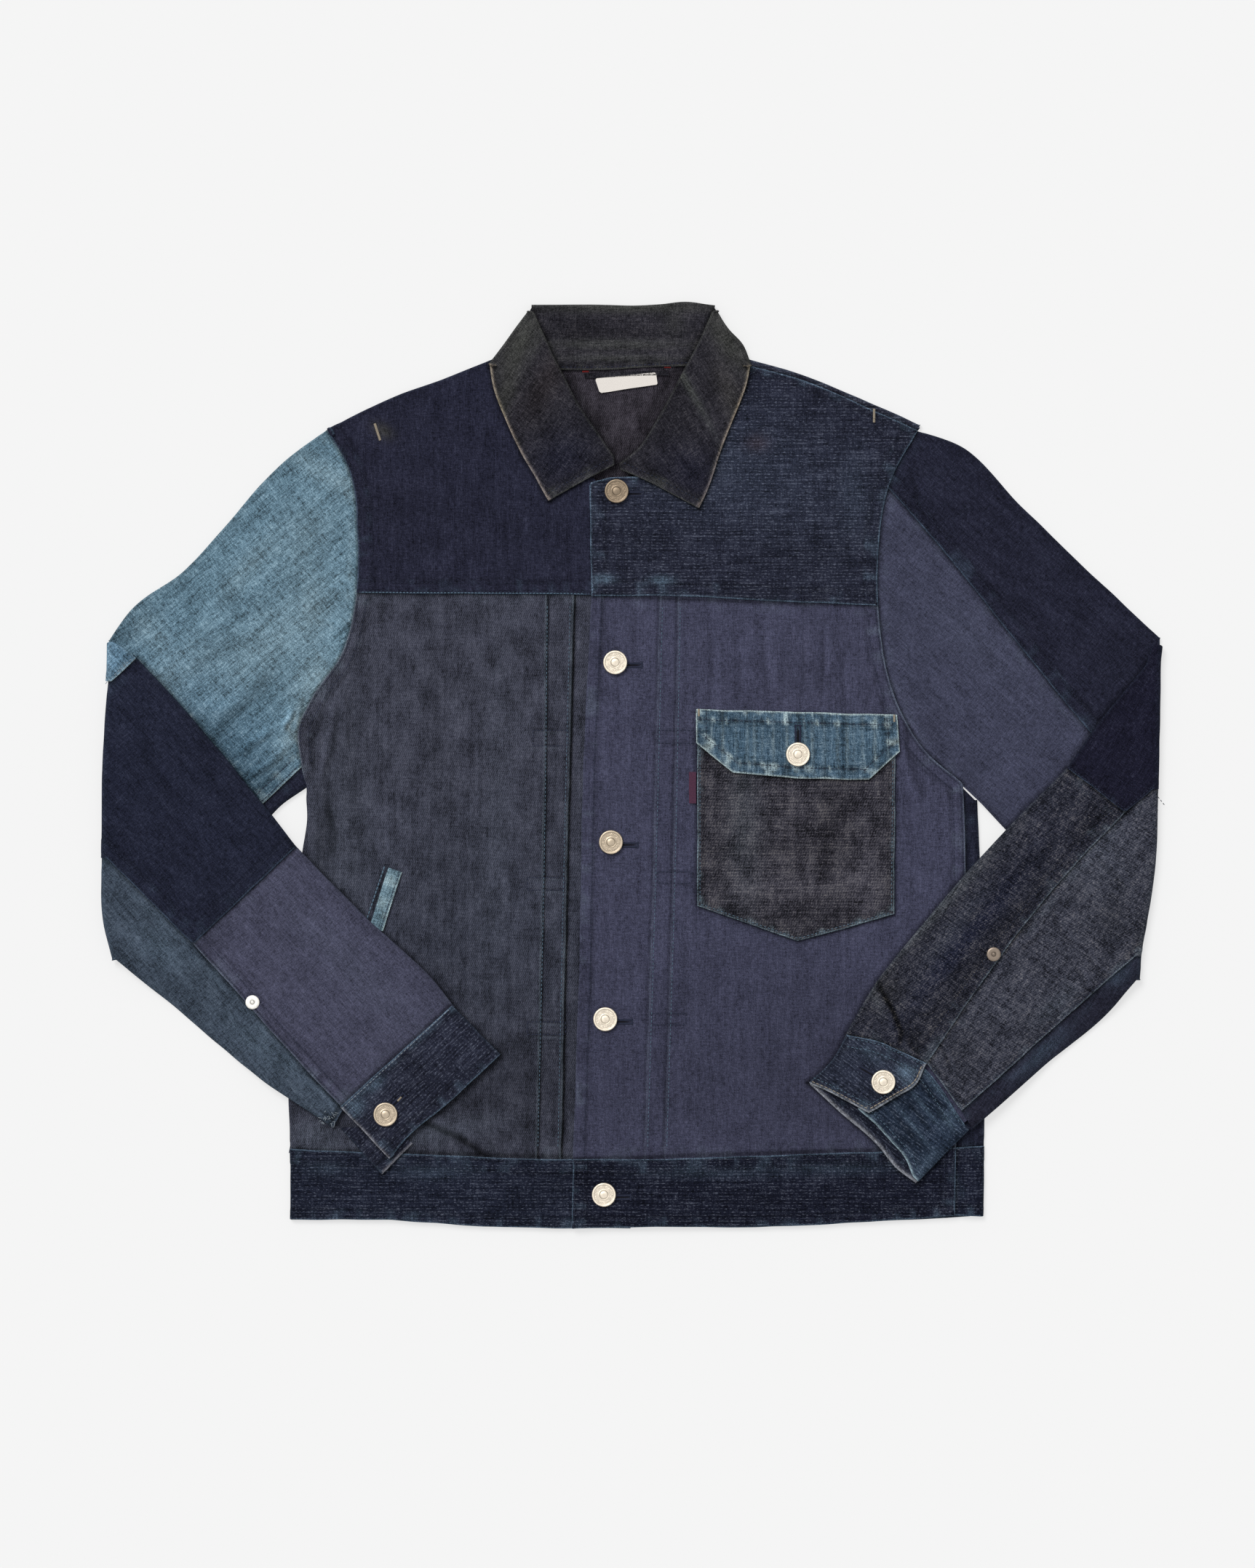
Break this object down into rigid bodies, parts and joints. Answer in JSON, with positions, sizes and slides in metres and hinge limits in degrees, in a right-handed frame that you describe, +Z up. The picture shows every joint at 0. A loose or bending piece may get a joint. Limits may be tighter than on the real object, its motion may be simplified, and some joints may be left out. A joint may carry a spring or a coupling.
{
  "type": "patchwork denim jacket",
  "caption": "Patchwork denim jacket laid flat, front up and buttoned, with both sleeves folded over the front.",
  "frame": {"origin": "middle of the laid-out jacket's outline box, on the surface it lies on", "axes": "+X towards the wearer's left (along the jacket's width), +Y towards the collar, +Z up"},
  "size_m": [0.7488, 0.6548, 0.0132],
  "materials": {
    "denim_navy": "matte",
    "denim_slub": "matte",
    "denim_charcoal": "matte",
    "denim_slate": "matte",
    "denim_sky": "matte",
    "denim_teal": "matte",
    "denim_black": "matte",
    "denim_white": "matte",
    "metal": "satin"
  },
  "bodies": {
    "root": {"back_body": "denim_navy", "back_waistband": "denim_slub", "back_yoke": "denim_charcoal", "button_flap": "metal", "button_front_1": "metal", "button_front_2": "metal", "button_front_3": "metal", "button_front_4": "metal", "button_front_5": "metal", "chest_pocket": "denim_charcoal", "chest_pocket_flap": "denim_sky", "collar_back": "denim_black", "collar_leaf_left": "denim_black", "collar_leaf_right": "denim_black", "cuff_button_left": "metal", "cuff_button_right": "metal", "cuff_left": "denim_slub", "cuff_left_button_end": "denim_slub", "cuff_left_lap": "denim_slub", "cuff_right": "denim_slub", "front_panel_left": "denim_slate", "front_panel_right": "denim_charcoal", "front_yoke_left": "denim_slub", "front_yoke_right": "denim_navy", "hanger_loop": "denim_black", "neck_label": "denim_white", "pocket_tab": "denim_navy", "shoulder_strip_left": "denim_slub", "side_panel_left": "denim_navy", "sleeve_left_back": "denim_navy", "sleeve_left_elbow": "denim_navy", "sleeve_left_forearm": "denim_charcoal", "sleeve_left_forearm_front": "denim_slate", "sleeve_left_front": "denim_slate", "sleeve_left_middle": "denim_charcoal", "sleeve_left_over": "denim_navy", "sleeve_left_under": "denim_navy", "sleeve_right_back": "denim_sky", "sleeve_right_elbow": "denim_navy", "sleeve_right_forearm_front": "denim_slate", "sleeve_right_lower": "denim_slate", "sleeve_right_turn": "denim_sky", "sleeve_right_under": "denim_teal", "sleeve_right_underarm": "denim_navy", "sleeve_right_upper": "denim_sky", "sleeve_rivet_left": "metal", "sleeve_rivet_right": "metal", "waistband_left": "denim_slub", "waistband_right": "denim_slub", "waistband_side_left": "denim_slub", "welt_right": "denim_sky"}
  },
  "joints": []
}
